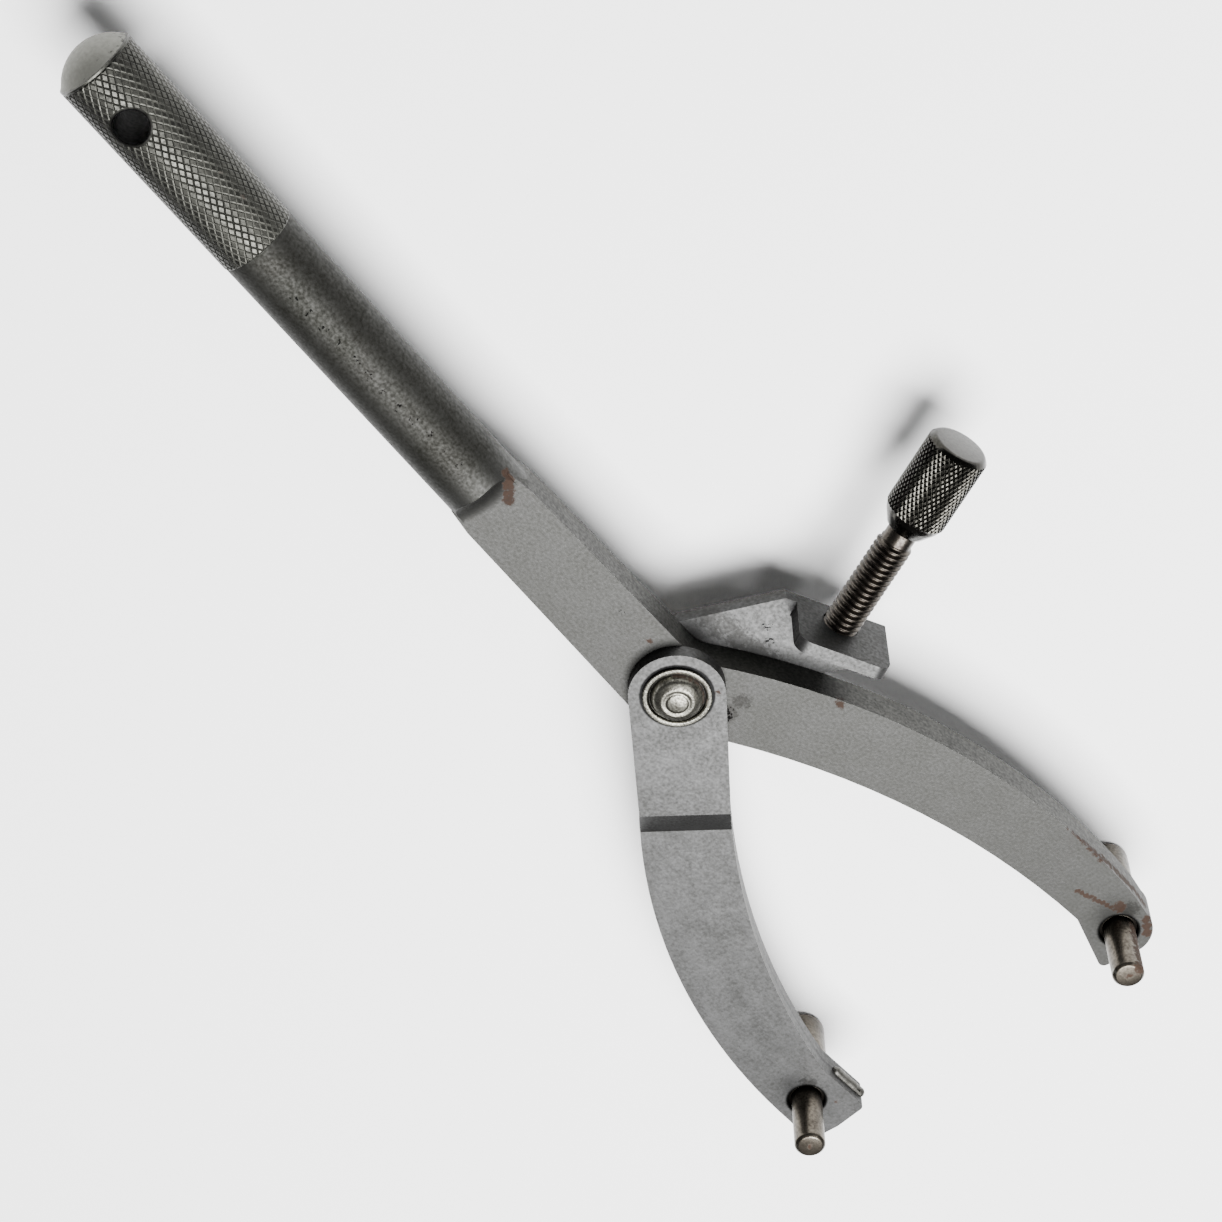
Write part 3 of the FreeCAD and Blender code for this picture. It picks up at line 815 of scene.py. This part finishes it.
# Cold-headed rivet, upset and rubbed: brighter than the plates round it, brown in its trough, with
# a painted shade ring in the trough inside the rim.
RIVET = SteelFinish(
    "headed_rivet_steel", "#3e3c37", "#77766e", 0.36, mottle_mm=2.0, grit_mm=0.5,
    grit_depth_mm=0.06, speckle=0.2,
    patches=tuple(
        streak(Mark.RUST, (-4.6, 3.4, 8), (-0.8, 5.6, 8), 2.2, 0.9)
        + streak(Mark.RUST, (-0.8, 5.6, 8), (4.0, 4.0, 8), 2.2, 0.85)
    ),
    # Painted shade ring in the trough inside the rim.
    rings=((0, 0, 7.9, 6.0, 0.55),),
)
# Hardened pins: brown-grey scale; worn spots by the chamfers are lightened as painted glints, and
# each recess step is painted dark as shade.
PIN = SteelFinish(
    "scaled_hardened_steel", "#332f2a", "#5a554d", 0.34, mottle_mm=3.5, grit_depth_mm=0.03,
    speckle=0.7,
    patches=tuple(
        streak(Mark.RUST, (113.4, 41.8, 6), (113.0, 41.8, 19), 3.8, 0.95)
        + streak(Mark.RUST, (115.5, -43.5, 16), (115.5, -43.5, 19), 2.4, 0.7)
        + [
            Patch(Mark.RUST, (*FIXED_PIN, 19.4), 2.6, 0.7),
            Patch(Mark.RUST, (*MOVING_PIN, 19.0), 2.4, 0.62),
            # Worn chamfers, lightened as painted glints.
            Patch(Mark.BARE, (111.0, -48.5, 18.0), 2.0, 0.75),
            Patch(Mark.BARE, (110.4, 36.0, 18.8), 2.0, 0.75),
        ]
    ),
    # Painted shade where each pin steps down inside its recess.
    rings=((*FIXED_PIN, 3.0, 4.2, 1.1), (*MOVING_PIN, 2.6, 4.2, 1.1)),
)
# Rolled thread, left oily and black in its roots.
THREAD = SteelFinish(
    "oiled_rolled_thread_steel", "#292523", "#4b4741", 0.32, mottle_mm=2.5,
    grit_depth_mm=0.015, speckle=0.6,
)
# Free-cutting steel knob, turned and knurled: dark with sharp highlights; its end face is darkened
# as painted shade.
KNOB = SteelFinish(
    "turned_knurled_steel", "#262522", "#403f3b", 0.22, mottle_mm=6.0, grit_depth_mm=0.01,
    # Painted shade on the knob's end face.
    speckle=0.25, patches=(Patch(Mark.GRIME, (-9.9, 79.3, -1.7), 14.0, 1.2),),
)


# --- sub-assemblies ------------------------------------------------------------------------------
@dataclass
class Handle:
    """The forging: knurled bar, blade and fixed jaw. Sizes in mm."""

    edge: float = 0.7
    bar_radius: float = 8.2
    bar_y: float = -3.0
    knurl_start: float = -177.0
    knurl_end: float = -131.0
    knurl_floor: float = 8.25
    diamonds_round: int = 36
    diamonds_along: int = 20
    groove: float = 0.22
    diamond_rise: float = 0.11
    rim: float = 0.5
    rim_share: float = 0.7
    hole_x: float = -165.2
    hole_mouth_radius: float = 4.1
    hole_sides: int = 40
    smooth_deg: float = 20
    blade_start: float = -60.5

    def forging(self) -> bpy.types.Object:
        """Round the forging's edges.

        Returns:
            The forging.
        """
        piece = forged_copy("handle_and_fixed_jaw", "forged_handle_and_jaw", self.edge,
                            FORGED.material(), RUBBED.material(), FORGING_WALL_SHADE.material(),
                            self.blade_start)
        place(piece, "handle", "forged_steel", "handle_and_fixed_jaw")
        return piece

    def knurl(self) -> bpy.types.Object:
        """Roll the diamond knurl round the bar and leave the hang hole's mouth open.

        Returns:
            The knurled sleeve.
        """
        length = self.knurl_end - self.knurl_start
        top = self.knurl_floor + self.diamond_rise
        rings = [(self.knurl_floor, self.rim + (length - self.rim) * i / self.diamonds_along)
                 for i in range(self.diamonds_along + 1)]
        start = [(top - self.rim, -self.rim / 2), (top, 0.0), (top, self.rim * self.rim_share)]
        piece = turn_up("handle_knurl", start + rings, self.diamonds_round)
        cut_knurl(piece, self.rim, length, self.knurl_floor, self.groove, self.diamond_rise)
        stand(piece, at(self.knurl_start, self.bar_y), X_AXIS)
        closed_and_outward(piece, self.smooth_deg)
        bpy.ops.object.select_all(action="DESELECT")
        bpy.ops.mesh.primitive_cylinder_add(vertices=self.hole_sides,
                                            radius=self.hole_mouth_radius * MM,
                                            depth=4 * self.bar_radius * MM,
                                            location=at(self.hole_x, self.bar_y))
        drill = bpy.context.active_object
        apply_modifier(piece, "BOOLEAN", object=drill, operation="DIFFERENCE", solver="EXACT")
        bpy.data.objects.remove(drill)
        piece.data.materials.clear()
        piece.data.materials.append(KNURLED.material())
        place(piece, "handle", "forged_steel")
        return piece

    def build(self) -> None:
        """Build and place both pieces."""
        self.forging()
        self.knurl()


@dataclass
class MovingJaw:
    """The two plates of the moving jaw and the weld that joins them. Sizes in mm."""

    edge: float = 0.45
    weld_voxel: float = 0.35
    weld_lump: float = 1.8
    weld_rise: float = 0.22
    weld_level: float = 0.62
    weld_smooth_deg: float = 60
    flank_start: float = -60.0

    def plates(self) -> None:
        """Round the edges of both plates."""
        for node, name in (("moving_jaw_front_plate", "front_plate"),
                           ("moving_jaw_rear_plate", "rear_plate_and_tab")):
            piece = forged_copy(node, name, self.edge, PLATE.material(), PLATE_EDGE.material(),
                                PLATE_WALL_SHADE.material(), self.flank_start)
            place(piece, "moving_jaw", "plate_steel", node)

    def weld(self) -> None:
        """Make the weld lumpy."""
        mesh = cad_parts["jaw_weld"].data.copy()
        mesh.materials.clear()
        mesh.materials.append(WELD.material())
        piece = bpy.data.objects.new("ground_weld", mesh)
        bpy.context.scene.collection.objects.link(piece)
        only(piece)
        bpy.ops.mesh.customdata_custom_splitnormals_clear()
        closed_and_outward(piece, self.weld_smooth_deg)
        apply_modifier(piece, "REMESH", mode="VOXEL", voxel_size=self.weld_voxel * MM)
        clouds = bpy.data.textures.new("weld_lumps", "CLOUDS")
        clouds.noise_scale = self.weld_lump * MM
        apply_modifier(piece, "DISPLACE", texture=clouds, strength=self.weld_rise * MM,
                       mid_level=self.weld_level, texture_coords="LOCAL")
        closed_and_outward(piece, self.weld_smooth_deg)
        place(piece, "moving_jaw", "weld_steel", "jaw_weld")

    def build(self) -> None:
        """Build and place the plates and the weld."""
        self.plates()
        self.weld()


@dataclass
class PivotRivet:
    """The rivet's headed end and its tail. Sizes in mm."""

    plate_out: float = 7.7
    shank: float = 5.0
    rim: float = 7.35
    rim_width: float = 1.1
    rim_height: float = 0.9
    dome_base: float = 5.7
    dome_top: float = 3.0
    dome_height: float = 3.0
    tail: float = 7.5
    tail_height: float = 2.2
    tail_round: float = 0.8
    head_round: float = 0.5
    rim_foot: float = 0.35
    trough_lift: float = 0.15
    trough_slope: float = 0.2
    dome_shoulder: float = 0.66
    dimple_depth: float = 0.35
    lip: float = 0.1
    middle: float = 0.4
    sides: int = 64
    smooth_deg: float = 40

    def build(self) -> None:
        """Turn the rivet from its tail to its dome."""
        out = self.plate_out
        trough = self.rim - self.rim_width
        top = out + self.dome_height
        foot = -out - self.tail_height
        tail = rounded([(0.5, foot), (self.tail, foot), (self.tail, -out)], self.tail_round, 4)
        head = rounded([
            (self.rim - self.rim_foot, out),
            (self.rim, out + self.rim_foot),
            (self.rim, out + self.rim_height),
            (trough, out + self.rim_height),
            (trough - self.trough_slope, out + self.trough_lift),
            (self.dome_base, out + self.trough_lift),
            (self.dome_base - 0.7, out + self.dome_shoulder * self.dome_height),
            (self.dome_top + 0.4, top - self.lip),
            (self.dome_top - 0.5, top - self.dimple_depth),
            (self.dome_top - 0.9, top - self.lip),
            (self.middle, top + self.lip),
        ], self.head_round, 3)
        profile = tail + [(self.shank, -out), (self.shank, out)] + head
        piece = turn_up("headed_rivet", profile, self.sides)
        stand(piece, PIVOT, Z_AXIS)
        closed_and_outward(piece, self.smooth_deg)
        piece.data.materials.append(RIVET.material())
        place(piece, "moving_jaw", "rivet_steel", "pivot_rivet")


@dataclass
class SteppedPin:
    """One stepped pin through a jaw's toe. Sizes in mm."""

    node: str
    body: str
    name: str
    thickness: float
    front_radius: float = 3.55
    front_length: float = 15.4
    body_radius: float = 4.35
    recess: float = 1.0
    rear_radius: float = 5.4
    rear_length: float = 17.2
    chamfer: float = 0.7
    middle: float = 0.4
    rounding: float = 0.25
    sides: int = 48
    smooth_deg: float = 35

    def build(self) -> None:
        """Turn the pin with its ends a little rounded."""
        back = -self.thickness / 2
        front = self.thickness / 2
        tip = front + self.front_length
        profile = rounded([
            (self.middle, back - self.rear_length),
            (self.rear_radius - self.chamfer, back - self.rear_length),
            (self.rear_radius, back - self.rear_length + self.chamfer),
            (self.rear_radius, back),
            (self.body_radius, back),
            (self.body_radius, front - self.recess),
            (self.front_radius, front - self.recess),
            (self.front_radius, tip - self.chamfer),
            (self.front_radius - self.chamfer, tip),
            (self.middle, tip),
        ], self.rounding, 2)
        piece = turn_up(self.name, profile, self.sides)
        middle = centre_of(self.node)
        stand(piece, Vector((middle.x, middle.y, PIVOT.z)), Z_AXIS)
        closed_and_outward(piece, self.smooth_deg)
        piece.data.materials.append(PIN.material())
        place(piece, self.body, "pin_steel", self.node)


@dataclass
class ThumbScrew:
    """The adjusting screw with a real thread, and its knurled knob. Sizes in mm."""

    across: float = 26.9
    face: float = 24.4
    tab_deg: float = 119.5
    height: float = -1.7
    screw_radius: float = 3.97
    pitch: float = 1.411
    depth: float = 0.8655
    tail: float = 5.2
    shown: float = 23.6
    neck: float = 3.0
    neck_radius: float = 3.3
    run_in: float = 1.2
    crest: float = 0.16
    rings_per_turn: int = 12
    sides: int = 36
    knob_radius: float = 6.6
    knob_length: float = 22.4
    foot_length: float = 4.2
    foot_radius: float = 4.2
    rim: float = 0.9
    diamonds_round: int = 40
    diamonds_along: int = 10
    groove: float = 0.24
    diamond_rise: float = 0.20
    wall_drop: float = 0.1
    foot_share: float = 0.72
    overlap: float = 1.0
    middle: float = 0.4
    screw_smooth_deg: float = 50
    knob_smooth_deg: float = 24

    def tab_hole(self) -> Vector:
        """Return the middle of the tapped hole at the tab's outer face, in metres."""
        out = Vector((math.cos(math.radians(self.tab_deg)), math.sin(math.radians(self.tab_deg))))
        spot = out * self.face + Vector((out.y, -out.x)) * self.across
        return at(spot.x, spot.y, self.height)

    def thread_radius(self, angle: float, height: float) -> float:
        """Work out the thread's surface.

        Args:
            angle: Angle about the screw, in radians.
            height: Height along the screw, in mm.

        Returns:
            The radius there, in mm.
        """
        turn = (height / self.pitch - angle / (2 * math.pi)) % 1.0
        valley = 1.0 - abs(2.0 * turn - 1.0)
        valley = min(1.0, max(0.0, (valley - self.crest) / (1.0 - 2 * self.crest)))
        from_end = min(height + self.tail, self.shown - height)
        fade = min(1.0, max(0.0, from_end / self.run_in))
        cut = self.screw_radius - self.depth * valley
        return self.neck_radius + (cut - self.neck_radius) * fade

    def screw(self) -> None:
        """Turn the shank and chase the thread into it."""
        step = self.pitch / self.rings_per_turn
        count = round((self.tail + self.shown) / step)
        rings = [(self.screw_radius, -self.tail + (self.tail + self.shown) * i / count)
                 for i in range(count + 1)]
        neck_end = self.shown + self.neck + self.overlap
        piece = turn_up("threaded_screw", rings + [(self.neck_radius, neck_end)], self.sides)
        for vert in piece.data.vertices:
            height = vert.co.z / MM
            if height <= self.shown + 0.01:
                angle = math.atan2(vert.co.y, vert.co.x)
                radius = self.thread_radius(angle, height) * MM
                vert.co.x = radius * math.cos(angle)
                vert.co.y = radius * math.sin(angle)
        stand(piece, self.tab_hole(), SCREW_AXIS)
        closed_and_outward(piece, self.screw_smooth_deg)
        piece.data.materials.append(THREAD.material())
        place(piece, "screw", "screw_steel", "adjusting_screw")

    def knob(self) -> None:
        """Turn the knob and roll its diamond knurl."""
        foot = self.shown + self.neck
        wall_radius = self.knob_radius - self.wall_drop
        wall_start = foot + self.foot_length
        wall_end = foot + self.knob_length - self.rim
        base = rounded([
            (self.neck_radius + 0.1, foot),
            (self.foot_radius, foot),
            (self.knob_radius - 0.5, foot + self.foot_share * self.foot_length),
            (wall_radius, wall_start),
        ], 1.2, 4)
        wall = [(wall_radius, wall_start + (wall_end - wall_start) * i / self.diamonds_along)
                for i in range(self.diamonds_along + 1)]
        top = rounded([
            (self.knob_radius - 0.05, wall_end),
            (self.knob_radius - self.rim, foot + self.knob_length),
            (self.middle, foot + self.knob_length),
        ], 0.5, 3)
        piece = turn_up("knurled_knob", base + wall[1:] + top[1:], self.diamonds_round)
        cut_knurl(piece, wall_start, wall_end, wall_radius, self.groove, self.diamond_rise)
        stand(piece, self.tab_hole(), SCREW_AXIS)
        closed_and_outward(piece, self.knob_smooth_deg)
        piece.data.materials.append(KNOB.material())
        place(piece, "knob", "knob_steel", "thumb_knob")

    def build(self) -> None:
        """Build and place the screw and the knob."""
        self.screw()
        self.knob()


@dataclass
class Studio:
    """Pale floor, soft lights and the camera. Places in metres in the row's frame."""

    floor_gap: float = 0.0002
    floor_size: float = 6.0
    floor_colour: str = "#fbfbfb"
    lens: float = 88.38
    camera_place: tuple[float, float, float] = (-0.4105, 0.1727, 0.5153)
    camera_turn: tuple[float, float, float] = (-33.83, 0.08, 52.57)
    sensor: float = 36.0
    world_light: float = 0.12
    room_colour: str = "#f4f5f6"
    floor_roughness: float = 0.9
    floor_gloss: float = 0.1

    def floor(self) -> None:
        """Lay a pale matt floor just under the tool."""
        bpy.ops.object.select_all(action="DESELECT")
        low = Vector(CAD_BOX[0]).z - self.floor_gap
        bpy.ops.mesh.primitive_plane_add(size=self.floor_size, location=(0, 0, low))
        floor = bpy.context.active_object
        floor.name = "studio_floor"
        bpy.ops.object.transform_apply(location=True, rotation=True, scale=True)
        paper = bpy.data.materials.new("matt_white_paper")
        paper.use_nodes = True
        shader = paper.node_tree.nodes["Principled BSDF"]
        shader.inputs["Base Color"].default_value = linear(self.floor_colour)
        shader.inputs["Roughness"].default_value = self.floor_roughness
        shader.inputs["Specular IOR Level"].default_value = self.floor_gloss
        floor.data.materials.append(paper)

    def lamp(self, name: str, place_m: tuple[float, float, float], size: float,
             watts: float) -> None:
        """Hang one soft square light that looks at the tool.

        Args:
            name: Name of the light.
            place_m: Where it hangs.
            size: Side of the square, in metres.
            watts: Its power.
        """
        data = bpy.data.lights.new(name, "AREA")
        data.size = size
        data.energy = watts
        obj = bpy.data.objects.new(name, data)
        bpy.context.scene.collection.objects.link(obj)
        middle = (Vector(CAD_BOX[0]) + Vector(CAD_BOX[1])) / 2
        obj.location = place_m
        obj.rotation_euler = (middle - obj.location).to_track_quat("-Z", "Y").to_euler()

    def camera(self) -> None:
        """Set the camera at the viewing angle."""
        data = bpy.data.cameras.new("camera")
        data.lens = self.lens
        data.sensor_width = self.sensor
        obj = bpy.data.objects.new("camera", data)
        bpy.context.scene.collection.objects.link(obj)
        obj.location = self.camera_place
        obj.rotation_euler = tuple(math.radians(angle) for angle in self.camera_turn)
        bpy.context.scene.camera = obj

    def world(self) -> None:
        """Light the room evenly from all round."""
        world = bpy.data.worlds.new("pale_room")
        world.use_nodes = True
        background = world.node_tree.nodes["Background"]
        background.inputs["Color"].default_value = linear(self.room_colour)
        background.inputs["Strength"].default_value = self.world_light
        bpy.context.scene.world = world

    def build(self) -> None:
        """Set up the floor, lights, camera and room."""
        self.camera()
        self.world()
        self.floor()
        self.lamp("softbox", (0.10, 0.02, 0.95), 0.7, 50.0)
        self.lamp("sparkle", (-0.05, 0.75, 0.75), 0.10, 1.2)


def main() -> None:
    """Build every piece in order."""
    logging.basicConfig(level=logging.INFO, format="%(message)s")
    Studio().build()
    Handle().build()
    MovingJaw().build()
    PivotRivet().build()
    SteppedPin("fixed_jaw_pin", "handle", "fixed_pin", 8.0).build()
    SteppedPin("moving_jaw_pin", "moving_jaw", "moving_pin", 7.2).build()
    ThumbScrew().build()


if __name__ == "__main__":
    main()
